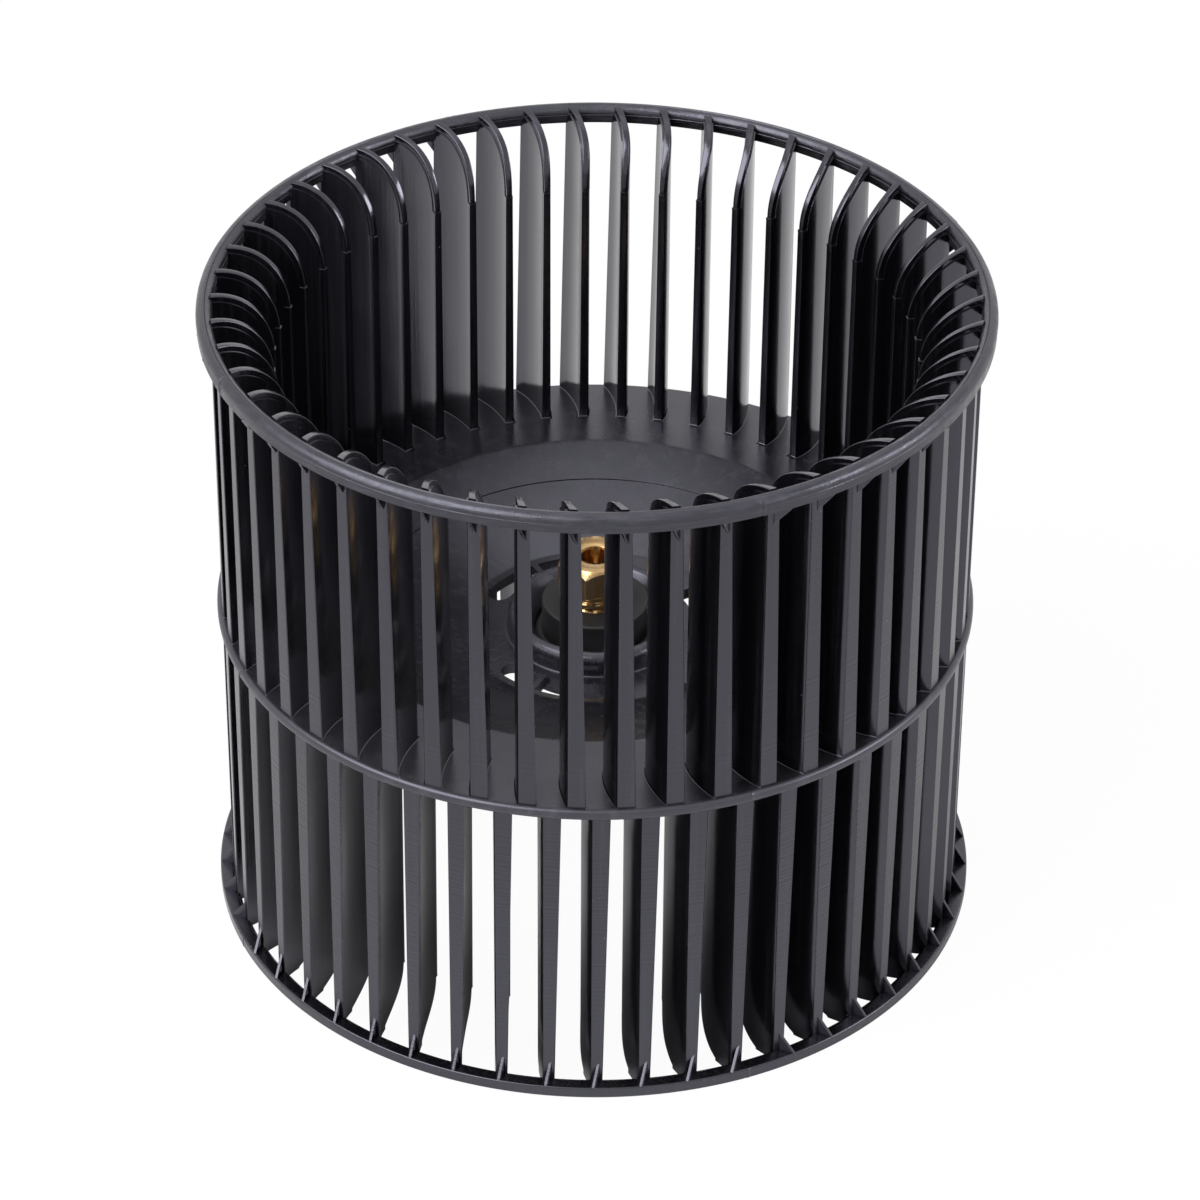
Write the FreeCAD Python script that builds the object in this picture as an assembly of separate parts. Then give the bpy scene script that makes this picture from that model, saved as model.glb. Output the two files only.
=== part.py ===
import FreeCAD, Part
import math
import os

from FreeCAD import Vector

# Double-inlet blower wheel that stands on its lower end ring. Millimetres and degrees.
# The origin is the centre of the wheel, +Z runs up along the axis of the shaft, and angles are
# measured counter-clockwise from +X as seen from above.

# End rings
WHEEL_RADIUS = 80.0
WHEEL_HEIGHT = 141.0
UPPER_RING_WIDTH = 3.2
UPPER_RING_BAND = 2.15
LOWER_RING_HEIGHT = 2.5

# Blades, in two rows that stand half a pitch apart. Each ring reaches in past their outer faces
# by its bite, and their round inner corners run out in the upper ring's bead.
BLADE_COUNT = 50
BLADE_AZIMUTH = 6.15
UPPER_RING_BITE = 0.5
LOWER_RING_BITE = 0.8
BLADE_DEPTH = 12.5
BLADE_INNER_WIDTH = 1.8
BLADE_OUTER_WIDTH = 3.95
BLADE_LEAN = 1.1
CONVEX_RADIUS = 19.0
CONCAVE_RADIUS = 24.5
INNER_DRAFT = 0.45
OUTER_DRAFT = 1.25
CORNER_RADIUS = 13.2
HEAD_SINK = 0.2
LOWER_END_RECESS = 0.3

# Gussets between the blades and the lips of the rings, square to the mould's four side slides
GUSSET_HEIGHT = 4.2
GUSSET_THICKNESS = 0.7
GUSSET_SETBACK = 0.15
SLIDE_AZIMUTH = -111.6
SLIDE_COUNT = 4

# Disc half way between the two end rings, dished in the middle
DISC_THICKNESS = 2.4
DISC_LAND = 9.6
RIM_STEP = 0.05
RIM_ROUND = 0.9
DISH_DEPTH = 10.5
FLOOR_EDGE = 1.5

# Curved slots in the floor of the dish, each crossed by one rib
SLOT_COUNT = 3
SLOT_AZIMUTH = 7.0
SLOT_SPAN = 58.0
SLOT_WIDTH = 5.0
SLOT_LAND = 2.6
RIB_AZIMUTH = 0.0
RIB_THICKNESS = 1.2

# Collar that holds the rubber bush
COLLAR_RADIUS = 18.3
COLLAR_HEIGHT = 4.9
COLLAR_ROUND = 2.0
COLLAR_SKIRT = 3.4
FUNNEL_DEPTH = 3.8

# Rubber bush
BUSH_RADIUS = 11.1
BUSH_GAP = 1.5
BUSH_HEIGHT = 7.2
BUSH_STEP_DEPTH = 1.3
BUSH_FLANGE_LIP = 2.4
BUSH_FLANGE_THICKNESS = 1.6
BUSH_EDGE = 0.3

# Brass collet, threaded outside
SHAFT_DIAMETER = 6.0
THREAD_DIAMETER = 11.0
COLLET_FLANGE_LIP = 2.0
COLLET_FLANGE_THICKNESS = 1.2
NECK_HEIGHT = 4.4
THREAD_IN_NUT = 2.2
TAPER_STEP = 0.6
TIP_WALL = 0.4
TIP_SINK = 0.5
MOUTH_CHAMFER = 0.3
SLIT_COUNT = 3
SLIT_AZIMUTH = 90.0
SLIT_WIDTH = 0.8
SLIT_FOOT = 1.2

# Brass clamp nut
NUT_SIDES = 6
NUT_FLATS = 14.0
NUT_HEIGHT = 6.5
NUT_CHAMFER_INSET = 0.4
NUT_CORNER_AZIMUTH = 16.0
NUT_TAPER_CLEARANCE = 0.1

# How far a gusset reaches into the wall that carries it
ROOT = 0.25

# How far a cutter runs past the faces that it opens
CUTTER_MARGIN = 1.0

HALF_HEIGHT = WHEEL_HEIGHT / 2
PITCH = 360.0 / BLADE_COUNT
UPPER_RING_INNER = WHEEL_RADIUS - UPPER_RING_WIDTH
UPPER_RING_SHOULDER = HALF_HEIGHT - UPPER_RING_WIDTH / 2
UPPER_RING_FOOT = UPPER_RING_SHOULDER - UPPER_RING_BAND
LOWER_RING_TOP = LOWER_RING_HEIGHT - HALF_HEIGHT
BLADE_OUTER = UPPER_RING_INNER + UPPER_RING_BITE
LOWER_RING_INNER = BLADE_OUTER - LOWER_RING_BITE
BLADE_INNER = BLADE_OUTER - BLADE_DEPTH
BEAD_RISE = math.sqrt(UPPER_RING_BITE * (UPPER_RING_WIDTH - UPPER_RING_BITE))
BLADE_END = UPPER_RING_SHOULDER + BEAD_RISE - HEAD_SINK
DISC_MIDDLE = (UPPER_RING_FOOT + LOWER_RING_TOP) / 2
DISC_TOP = DISC_MIDDLE + DISC_THICKNESS / 2
DISC_BOTTOM = DISC_MIDDLE - DISC_THICKNESS / 2
DISH_RADIUS = BLADE_INNER - DISC_LAND
FLOOR_TOP = DISC_TOP - DISH_DEPTH
FLOOR_BOTTOM = FLOOR_TOP - DISC_THICKNESS
SLOT_INNER = COLLAR_RADIUS + SLOT_LAND
SLOT_OUTER = SLOT_INNER + SLOT_WIDTH
FLOOR_RADIUS = SLOT_OUTER + FLOOR_EDGE
COLLAR_TOP = FLOOR_TOP + COLLAR_HEIGHT
COLLAR_BOTTOM = FLOOR_BOTTOM - COLLAR_SKIRT
COLLAR_BORE = BUSH_RADIUS + BUSH_GAP
BUSH_TOP = FLOOR_TOP + BUSH_HEIGHT
BUSH_BOTTOM = COLLAR_BOTTOM - BUSH_FLANGE_THICKNESS
THREAD_RADIUS = THREAD_DIAMETER / 2
NUT_BOTTOM = BUSH_TOP + NECK_HEIGHT
NUT_TOP = NUT_BOTTOM + NUT_HEIGHT
TAPER_BASE = NUT_BOTTOM + THREAD_IN_NUT
TAPER_BASE_RADIUS = THREAD_RADIUS - TAPER_STEP
TIP_TOP = NUT_TOP - TIP_SINK
TIP_RADIUS = SHAFT_DIAMETER / 2 + TIP_WALL

ORIGIN = Vector(0, 0, 0)
UP = Vector(0, 0, 1)


def direction(azimuth):
    angle = math.radians(azimuth)
    return Vector(math.cos(angle), math.sin(angle), 0)


def turned(shape, azimuth):
    copy = shape.copy()
    copy.rotate(ORIGIN, UP, azimuth)
    return copy


def revolved(edges):
    """Solid of revolution about Z from a closed list of edges in the XZ plane."""
    face = Part.Face(Part.Wire(edges))
    return face.revolve(ORIGIN, UP, 360)


def profile(points):
    """Closed straight-sided outline in the XZ plane from (radius, height) pairs."""
    corners = [Vector(radius, 0, height) for radius, height in points]
    return [Part.makeLine(a, b) for a, b in zip(corners, corners[1:] + corners[:1])]


def arc_xz(centre, radius, start, end):
    """Arc in the XZ plane about a (radius, height) centre, between two angles from +X."""
    points = []
    for degrees in (start, (start + end) / 2, end):
        angle = math.radians(degrees)
        reach = centre[0] + radius * math.cos(angle)
        points.append(Vector(reach, 0, centre[1] + radius * math.sin(angle)))
    return Part.Arc(*points).toShape()


def line_xz(start, end):
    return Part.makeLine(Vector(start[0], 0, start[1]), Vector(end[0], 0, end[1]))


def chain_xz(points):
    return [line_xz(a, b) for a, b in zip(points, points[1:])]


def upper_ring():
    """Flat band with a half-round top."""
    bead = UPPER_RING_WIDTH / 2
    centre = (WHEEL_RADIUS - bead, UPPER_RING_SHOULDER)
    edges = chain_xz([
        (UPPER_RING_INNER, UPPER_RING_SHOULDER),
        (UPPER_RING_INNER, UPPER_RING_FOOT),
        (WHEEL_RADIUS, UPPER_RING_FOOT),
        (WHEEL_RADIUS, UPPER_RING_SHOULDER),
    ])
    edges.append(arc_xz(centre, bead, 0, 90))
    edges.append(arc_xz(centre, bead, 90, 180))
    return revolved(edges)


def lower_ring():
    """Flat flange that the wheel stands on."""
    return revolved(profile([
        (LOWER_RING_INNER, -HALF_HEIGHT),
        (WHEEL_RADIUS, -HALF_HEIGHT),
        (WHEEL_RADIUS, LOWER_RING_TOP),
        (LOWER_RING_INNER, LOWER_RING_TOP),
    ]))


def disc():
    """Thin disc with a round rim, a dish, and the collar in the middle of the dish."""
    rim = BLADE_OUTER + RIM_STEP
    rim_top = DISC_TOP - RIM_ROUND
    rim_bottom = DISC_BOTTOM + RIM_ROUND
    shoulder = COLLAR_RADIUS - COLLAR_ROUND
    rounding_centre = COLLAR_TOP - COLLAR_ROUND
    bottom_inside = (COLLAR_BORE, COLLAR_BOTTOM)
    edges = chain_xz([
        bottom_inside,
        (COLLAR_BORE, COLLAR_TOP - FUNNEL_DEPTH),
        (shoulder, COLLAR_TOP),
    ])
    edges.append(arc_xz((shoulder, rounding_centre), COLLAR_ROUND, 90, 0))
    edges += chain_xz([
        (COLLAR_RADIUS, rounding_centre),
        (COLLAR_RADIUS, FLOOR_TOP),
        (FLOOR_RADIUS, FLOOR_TOP),
        (DISH_RADIUS, DISC_TOP),
        (rim, DISC_TOP),
    ])
    edges.append(arc_xz((rim, rim_top), RIM_ROUND, 90, 0))
    edges.append(line_xz((rim + RIM_ROUND, rim_top), (rim + RIM_ROUND, rim_bottom)))
    edges.append(arc_xz((rim, rim_bottom), RIM_ROUND, 0, -90))
    edges += chain_xz([
        (rim, DISC_BOTTOM),
        (DISH_RADIUS, DISC_BOTTOM),
        (FLOOR_RADIUS, FLOOR_BOTTOM),
        (COLLAR_RADIUS, FLOOR_BOTTOM),
        (COLLAR_RADIUS, COLLAR_BOTTOM),
        bottom_inside,
    ])
    return revolved(edges)


def slot_cutter():
    """One curved slot with round ends, broken by its rib."""
    base = Vector(0, 0, FLOOR_BOTTOM - CUTTER_MARGIN)
    height = DISC_THICKNESS + 2 * CUTTER_MARGIN
    middle = (SLOT_INNER + SLOT_OUTER) / 2
    end_angle = math.degrees(SLOT_WIDTH / 2 / middle)
    start = SLOT_AZIMUTH - SLOT_SPAN / 2 + end_angle
    sweep = SLOT_SPAN - 2 * end_angle
    sector = Part.makeCylinder(SLOT_OUTER, height, base, UP, sweep)
    sector = turned(sector.cut(Part.makeCylinder(SLOT_INNER, height, base)), start)
    ends = []
    for azimuth in (start, start + sweep):
        ends.append(Part.makeCylinder(SLOT_WIDTH / 2, height, base + direction(azimuth) * middle))
    rib = Part.makeBox(FLOOR_RADIUS, RIB_THICKNESS, height, base - Vector(0, RIB_THICKNESS / 2, 0))
    return sector.multiFuse(ends).cut(turned(rib, RIB_AZIMUTH))


def arc_centre(start, end, radius):
    """Centre of the circle through two plan points, on the side that the blade curves towards."""
    chord = end.sub(start)
    middle = (start + end) * 0.5
    reach = math.sqrt(radius ** 2 - (chord.Length / 2) ** 2)
    side = Vector(-chord.y, chord.x, 0)
    side.normalize()
    return middle + side * reach


def concave_centre(inner_draft, outer_draft):
    inner = Vector(BLADE_INNER, BLADE_INNER_WIDTH / 2 - inner_draft, 0)
    outer = Vector(BLADE_OUTER, BLADE_LEAN + BLADE_OUTER_WIDTH - outer_draft, 0)
    return arc_centre(inner, outer, CONCAVE_RADIUS)


def blade_envelope(length):
    """Slab with a blade's straight inner edge and round inner corner, inside the outer face."""
    corner = (BLADE_INNER + CORNER_RADIUS, length - CORNER_RADIUS)
    beyond = WHEEL_RADIUS + CORNER_RADIUS
    edges = [line_xz((BLADE_INNER, 0), (BLADE_INNER, corner[1]))]
    edges.append(arc_xz(corner, CORNER_RADIUS, 180, 90))
    edges += chain_xz([(corner[0], length), (beyond, length), (beyond, 0), (BLADE_INNER, 0)])
    half_width = Vector(0, BLADE_DEPTH, 0)
    outline = Part.Face(Part.Wire(edges))
    outline.translate(half_width * -1)
    return outline.extrude(half_width * 2).common(Part.makeCylinder(BLADE_OUTER, length))


def blade(length):
    """Crescent blade on +X that stands on z = 0. Its trailing side is round and square to the
    disc, and its leading side is hollow and drafted."""
    inner = Vector(BLADE_INNER, -BLADE_INNER_WIDTH / 2, 0)
    outer = Vector(BLADE_OUTER, BLADE_LEAN, 0)
    round_side = Part.makeCylinder(CONVEX_RADIUS, length, arc_centre(inner, outer, CONVEX_RADIUS))
    foot = concave_centre(0, 0)
    head = concave_centre(INNER_DRAFT, OUTER_DRAFT) + UP * length
    hollow_side = Part.makeCylinder(
        CONCAVE_RADIUS,
        length + 2 * CUTTER_MARGIN,
        foot - UP * CUTTER_MARGIN,
        head.sub(foot),
    )
    return round_side.cut(hollow_side).common(blade_envelope(length))


def outer_face_azimuth(blade_azimuth):
    """Azimuth of the middle of a blade's outer face, half way between its foot and its head."""
    middle = BLADE_LEAN + (BLADE_OUTER_WIDTH - OUTER_DRAFT / 2) / 2
    return blade_azimuth + math.degrees(math.asin(middle / BLADE_OUTER))


def gusset(azimuth, base, height):
    """Thin triangular rib on a ring's lip, along the pull of the nearest side slide."""
    slide_step = 360.0 / SLIDE_COUNT
    slide = SLIDE_AZIMUTH + slide_step * round((azimuth - SLIDE_AZIMUTH) / slide_step)
    along = direction(slide)
    foot = direction(azimuth) * BLADE_OUTER
    inward = foot.dot(along)
    edge = WHEEL_RADIUS - GUSSET_SETBACK
    reach = math.sqrt(inward ** 2 - foot.dot(foot) + edge ** 2) - inward
    root = ROOT if height > 0 else -ROOT
    slope = height / reach
    outline = [
        (-ROOT, base - root),
        (reach, base - root),
        (reach, base),
        (-ROOT, base + height + ROOT * slope),
    ]
    side = along.cross(UP) * (GUSSET_THICKNESS / 2)
    corners = [foot + along * run + UP * rise + side for run, rise in outline]
    face = Part.Face(Part.makePolygon(corners + corners[:1]))
    return face.extrude(side * -2)


def wheel():
    """The whole wheel is one moulding: rings, disc, blades and gussets."""
    upper = blade(BLADE_END - DISC_MIDDLE)
    upper.translate(UP * DISC_MIDDLE)
    lower_end = LOWER_END_RECESS - HALF_HEIGHT
    below = Part.makeCylinder(WHEEL_RADIUS, WHEEL_HEIGHT, UP * (lower_end - WHEEL_HEIGHT))
    lower = upper.mirror(UP * DISC_MIDDLE, UP).cut(below)
    members = [upper_ring(), lower_ring()]
    for index in range(BLADE_COUNT):
        upper_azimuth = BLADE_AZIMUTH + index * PITCH
        lower_azimuth = upper_azimuth + PITCH / 2
        members.append(turned(upper, upper_azimuth))
        members.append(turned(lower, lower_azimuth))
        upper_face = outer_face_azimuth(upper_azimuth)
        lower_face = outer_face_azimuth(lower_azimuth)
        members.append(gusset(upper_face, UPPER_RING_FOOT, -GUSSET_HEIGHT))
        members.append(gusset(lower_face, LOWER_RING_TOP, GUSSET_HEIGHT))
    body = disc()
    for index in range(SLOT_COUNT):
        body = body.cut(turned(slot_cutter(), index * 360.0 / SLOT_COUNT))
    return body.multiFuse(members)


def hub_bush():
    """Rubber bush that is bonded into the collar and carries the collet."""
    step = COLLAR_TOP - FUNNEL_DEPTH - BUSH_STEP_DEPTH
    flange = COLLAR_BORE + BUSH_FLANGE_LIP
    return revolved(profile([
        (THREAD_RADIUS, BUSH_BOTTOM),
        (flange, BUSH_BOTTOM),
        (flange, COLLAR_BOTTOM),
        (COLLAR_BORE, COLLAR_BOTTOM),
        (COLLAR_BORE, step),
        (BUSH_RADIUS, step),
        (BUSH_RADIUS, BUSH_TOP - BUSH_EDGE),
        (BUSH_RADIUS - BUSH_EDGE, BUSH_TOP),
        (THREAD_RADIUS, BUSH_TOP),
    ]))


def collet():
    """Threaded brass sleeve with a slit taper that the nut closes on the shaft."""
    bore = SHAFT_DIAMETER / 2
    flange = THREAD_RADIUS + COLLET_FLANGE_LIP
    bottom = BUSH_BOTTOM - COLLET_FLANGE_THICKNESS
    sleeve = revolved(profile([
        (bore, bottom),
        (flange, bottom),
        (flange, BUSH_BOTTOM),
        (THREAD_RADIUS, BUSH_BOTTOM),
        (THREAD_RADIUS, TAPER_BASE),
        (TAPER_BASE_RADIUS, TAPER_BASE),
        (TIP_RADIUS, TIP_TOP),
        (bore + MOUTH_CHAMFER, TIP_TOP),
        (bore, TIP_TOP - MOUTH_CHAMFER),
    ]))
    foot = NUT_BOTTOM - SLIT_FOOT
    corner = Vector(0, -SLIT_WIDTH / 2, foot)
    slit = Part.makeBox(flange, SLIT_WIDTH, NUT_TOP - foot, corner)
    slits = [turned(slit, SLIT_AZIMUTH + index * 360.0 / SLIT_COUNT) for index in range(SLIT_COUNT)]
    return sleeve.cut(slits)


def clamp_nut():
    """Hexagonal brass nut with a chamfered crown, whose inner taper presses on the collet."""
    corner = NUT_FLATS / 2 / math.cos(math.pi / NUT_SIDES)
    points = []
    for index in range(NUT_SIDES):
        azimuth = NUT_CORNER_AZIMUTH + index * 360.0 / NUT_SIDES
        points.append(direction(azimuth) * corner + UP * NUT_BOTTOM)
    hexagon = Part.Face(Part.makePolygon(points + points[:1])).extrude(UP * NUT_HEIGHT)
    crown = NUT_FLATS / 2 - NUT_CHAMFER_INSET
    beyond = corner + CUTTER_MARGIN
    crown_cone = revolved(profile([
        (0, NUT_BOTTOM),
        (beyond, NUT_BOTTOM),
        (beyond, NUT_TOP - (beyond - crown)),
        (crown, NUT_TOP),
        (0, NUT_TOP),
    ]))
    taper_slope = (TAPER_BASE_RADIUS - TIP_RADIUS) / (TIP_TOP - TAPER_BASE)
    taper_base_radius = TAPER_BASE_RADIUS + NUT_TAPER_CLEARANCE
    mouth_radius = TIP_RADIUS + NUT_TAPER_CLEARANCE - taper_slope * TIP_SINK
    hole = revolved(profile([
        (0, NUT_BOTTOM - CUTTER_MARGIN),
        (THREAD_RADIUS, NUT_BOTTOM - CUTTER_MARGIN),
        (THREAD_RADIUS, TAPER_BASE),
        (taper_base_radius, TAPER_BASE),
        (mouth_radius, NUT_TOP),
        (mouth_radius, NUT_TOP + CUTTER_MARGIN),
        (0, NUT_TOP + CUTTER_MARGIN),
    ]))
    return hexagon.common(crown_cone).cut(hole)


def main():
    os.makedirs("parts", exist_ok=True)
    sub_parts = {
        "wheel": wheel(),
        "hub_bush": hub_bush(),
        "collet": collet(),
        "clamp_nut": clamp_nut(),
    }
    for name, shape in sub_parts.items():
        solids = shape.Solids
        print(name, "solids", len(solids), "volume", round(shape.Volume, 1), "valid", shape.isValid())
        shape.exportStep(f"parts/{name}.step")


main()
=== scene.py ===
import math

import bmesh
import bpy
from mathutils import Matrix, Vector, noise

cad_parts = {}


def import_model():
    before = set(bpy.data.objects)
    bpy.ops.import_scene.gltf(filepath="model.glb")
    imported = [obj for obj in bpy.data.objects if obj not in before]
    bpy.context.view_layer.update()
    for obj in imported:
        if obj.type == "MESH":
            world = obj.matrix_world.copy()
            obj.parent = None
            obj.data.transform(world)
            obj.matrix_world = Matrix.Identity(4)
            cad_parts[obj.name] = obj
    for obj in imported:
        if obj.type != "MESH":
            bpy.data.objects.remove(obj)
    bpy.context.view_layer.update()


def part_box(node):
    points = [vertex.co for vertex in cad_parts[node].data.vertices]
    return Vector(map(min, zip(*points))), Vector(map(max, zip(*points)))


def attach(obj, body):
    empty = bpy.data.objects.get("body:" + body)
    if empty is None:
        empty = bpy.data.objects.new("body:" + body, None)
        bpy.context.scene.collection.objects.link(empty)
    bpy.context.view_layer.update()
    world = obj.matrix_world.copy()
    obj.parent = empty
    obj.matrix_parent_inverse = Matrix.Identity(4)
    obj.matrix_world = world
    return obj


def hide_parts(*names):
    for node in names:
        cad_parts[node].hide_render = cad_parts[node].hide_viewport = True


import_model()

# Lengths are millimetres unless a name or a comment says metres. The origin is the wheel's centre,
# +Z is up along the shaft, and angles run counter-clockwise from +X as seen from above.
MM = 0.001
MERGE_METRES = 1e-7

# End rings
WHEEL_RADIUS = 80.0
HALF_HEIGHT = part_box("wheel")[1].z / MM
UPPER_RING_WIDTH = 3.2
UPPER_RING_BAND = 2.15
UPPER_RING_SHOULDER = HALF_HEIGHT - UPPER_RING_WIDTH / 2
UPPER_RING_FOOT = UPPER_RING_SHOULDER - UPPER_RING_BAND
BAND_SETBACK = 0.1
BAND_EDGE = 0.1
BAND_CHAMFER = 0.15
NECK_SETBACK = 0.16
NECK_INSET = 0.12
TOP_GROOVE_ANGLE = 97.0
TOP_GROOVE_SPREAD = 4.0
TOP_GROOVE_DEPTH = 0.11
TOP_GROOVE_STEP = 0.01
BEAD_WAVE = 0.05
BEAD_RIPPLE = 0.025
LOWER_RING_WIDTH = 3.5
LOWER_RING_HEIGHT = 2.5
LOWER_RING_CHAMFER = 0.75
LOWER_RING_ROUND = 0.35
LOWER_RING_TOP = LOWER_RING_HEIGHT - HALF_HEIGHT
DISC_MIDDLE = (UPPER_RING_FOOT + LOWER_RING_TOP) / 2

# Blades. Heights on a blade count from the disc's middle plane.
BLADE_COUNT = 50
PITCH = 360.0 / BLADE_COUNT
BLADE_AZIMUTH = 6.15
BLADE_SETBACK = 2.7
BLADE_DEPTH = 12.5
BLADE_OUTER = WHEEL_RADIUS - BLADE_SETBACK
BLADE_INNER = BLADE_OUTER - BLADE_DEPTH
BLADE_INNER_WIDTH = 1.8
BLADE_OUTER_WIDTH = 3.72
BLADE_LEAN = 1.1
CONVEX_OUTER_SLOPE = 0.364
CONCAVE_RADIUS = 24.5
INNER_DRAFT = 0.45
OUTER_DRAFT = 1.35
CORNER_RADIUS = 13.6
CORNER_STEPS = 16
CORNER_DROP = 0.03
CORNER_MARGIN = 0.25
UPPER_SINK = 0.2
LOWER_SINK = 0.3
LOWER_END = 0.01
UPPER_LIMIT = UPPER_RING_SHOULDER - UPPER_SINK - DISC_MIDDLE
LOWER_LIMIT = HALF_HEIGHT + DISC_MIDDLE - LOWER_SINK
BLADE_LENGTH = HALF_HEIGHT - DISC_MIDDLE
SEAM_HEIGHT = BLADE_LENGTH - CORNER_DROP - CORNER_RADIUS
BLADE_LEVELS = (9.0, 23.0, 40.0, SEAM_HEIGHT - 2.0)
FOOT_ROOT = 0.2
FOOT_FILLET = 0.25
FOOT_TOE = 3.0
OUTER_EDGE = 0.15
STRIP_EDGE = 0.18
LEDGE_REACH = 1.15
LEDGE_RUN = 0.03
LEDGE_STEP = 0.18
LEDGE_GROWTH = 0.16
LEDGE_MARGIN = 1.0
SEAM_STEP = 0.12
SEAM_BURR = 0.22
SEAM_FADE = 0.6
SEAM_CREST = 0.16
SEAM_GAP = 0.02

# The mould's side slides, and the marks where they part
SLIDE_COUNT = 4
SLIDE_AZIMUTH = -111.6
SLIDE_STEP = 360.0 / SLIDE_COUNT
PARTING_AZIMUTH = SLIDE_AZIMUTH + SLIDE_STEP / 2
PARTING_STEPS = (-1.2, -0.7, -0.45, -0.2, -0.05, 0.0, 0.05, 0.2, 0.6, 1.1)
PARTING_SHIFT = 0.003
RIDGE_RADIUS = BLADE_OUTER + 0.3
RIM_RIDGE = 0.12
BEAD_RIDGE = 0.1
BEAD_STEP = 0.035
BEAD_BURR = 0.16

# Gussets, square to the slides
GUSSET_HEIGHT = 4.2
GUSSET_THICKNESS = 0.7
GUSSET_SETBACK = 0.15
GUSSET_ROOT = 0.25
GUSSET_OVERSHOOT = 1.05

# Disc, dish and slots
DISC_THICKNESS = 2.4
DISC_TOP = DISC_MIDDLE + DISC_THICKNESS / 2
DISC_BOTTOM = DISC_MIDDLE - DISC_THICKNESS / 2
DISC_LAND = 9.6
RIM_STEP = 0.05
RIM_ROUND = 0.9
DISH_RADIUS = BLADE_INNER - DISC_LAND
DISH_DEPTH = 10.5
DISH_BEND = ((-0.35, -0.13), (0.0, -0.02), (0.35, 0.0))
FLOOR_BEND = ((-0.4, 0.0), (0.0, 0.03), (0.4, 0.15))
INSERT_RADIUS = 45.4
INSERT_GROOVE = ((-0.15, -0.06), (-0.05, -0.26), (0.1, -0.2), (0.15, 0.06))
FLOOR_TOP = DISC_TOP - DISH_DEPTH
FLOOR_BOTTOM = FLOOR_TOP - DISC_THICKNESS
COLLAR_RADIUS = 18.3
COLLAR_HEIGHT = 4.9
COLLAR_ROUND = 2.0
COLLAR_FOOT_ROUND = 0.5
COLLAR_EDGE = 0.2
COLLAR_SKIRT = 3.4
COLLAR_TOP = FLOOR_TOP + COLLAR_HEIGHT
COLLAR_BOTTOM = FLOOR_BOTTOM - COLLAR_SKIRT
COLLAR_BORE = 12.6
FUNNEL_DEPTH = 3.8
SLOT_LAND = 2.6
SLOT_INNER = COLLAR_RADIUS + SLOT_LAND
SLOT_WIDTH = 5.0
SLOT_OUTER = SLOT_INNER + SLOT_WIDTH
SLOT_MIDDLE = (SLOT_INNER + SLOT_OUTER) / 2
SLOT_STEPS = 14
SLOT_END_STEPS = 8
SLOT_EDGE = 0.25
FLOOR_EDGE = 1.5
FLOOR_RADIUS = SLOT_OUTER + FLOOR_EDGE
SLOT_COUNT = 3
SLOT_AZIMUTH = 7.0
SLOT_SPAN = 58.0
RIB_AZIMUTH = 0.0
RIB_THICKNESS = 1.2

# Rubber bush
BUSH_RADIUS = 11.1
BUSH_HEIGHT = 7.2
BUSH_ROUND = 0.45
BUSH_STEP_DEPTH = 1.3
BUSH_FLANGE = COLLAR_BORE + 2.4
BUSH_FLANGE_THICKNESS = 1.6
BUSH_TOP = FLOOR_TOP + BUSH_HEIGHT
BUSH_STEP = COLLAR_TOP - FUNNEL_DEPTH - BUSH_STEP_DEPTH
BUSH_BOTTOM = COLLAR_BOTTOM - BUSH_FLANGE_THICKNESS

# Brass collet and nut
BORE_RADIUS = 3.0
THREAD_RADIUS = 5.5
THREAD_PITCH = 1.9
THREAD_DEPTH = 0.55
THREAD_STEPS = 44
THREAD_ROOT = 0.5
THREAD_MARGIN = 0.1
COLLET_FLANGE = THREAD_RADIUS + 2.0
COLLET_FLANGE_THICKNESS = 1.2
COLLET_EDGE = 0.2
COLLET_BOTTOM = BUSH_BOTTOM - COLLET_FLANGE_THICKNESS
NECK_HEIGHT = 4.4
THREAD_IN_NUT = 2.2
TAPER_STEP = 0.6
TIP_WALL = 0.4
TIP_SINK = 0.5
SLIT_COUNT = 3
SLIT_AZIMUTH = 90.0
SLIT_WIDTH = 0.8
SLIT_REACH = 9.0
SLIT_FOOT = 1.2
NUT_FLATS = 14.0
NUT_HEIGHT = 6.5
NUT_CHAMFER_INSET = 0.4
NUT_CORNER_AZIMUTH = 16.0
NUT_CORNER_ROUND = 0.35
NUT_EDGE = 0.25
NUT_BOTTOM = BUSH_TOP + NECK_HEIGHT
NUT_TOP = NUT_BOTTOM + NUT_HEIGHT
NUT_CROWN = NUT_FLATS / 2 - NUT_CHAMFER_INSET
TAPER_BASE = NUT_BOTTOM + THREAD_IN_NUT
TAPER_RADIUS = THREAD_RADIUS - TAPER_STEP
TIP_RADIUS = BORE_RADIUS + TIP_WALL
TIP_TOP = NUT_TOP - TIP_SINK
MOUTH_INSET = 0.05
MOUTH_RADIUS = TIP_RADIUS - MOUTH_INSET

# Camera, from the perspective of the photograph, whose frame is 1200 by 1200 pixels
PHOTO_WIDTH = 1200
FOCAL_PIXELS = 5082.5
SENSOR_WIDTH = 36.0
CAMERA_DISTANCE_METRES = 1.05398
CAMERA_PITCH = 34.663
CAMERA_ROLL = -0.385
DISC_CENTRE_PIXEL = (595.38, 589.14)

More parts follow.
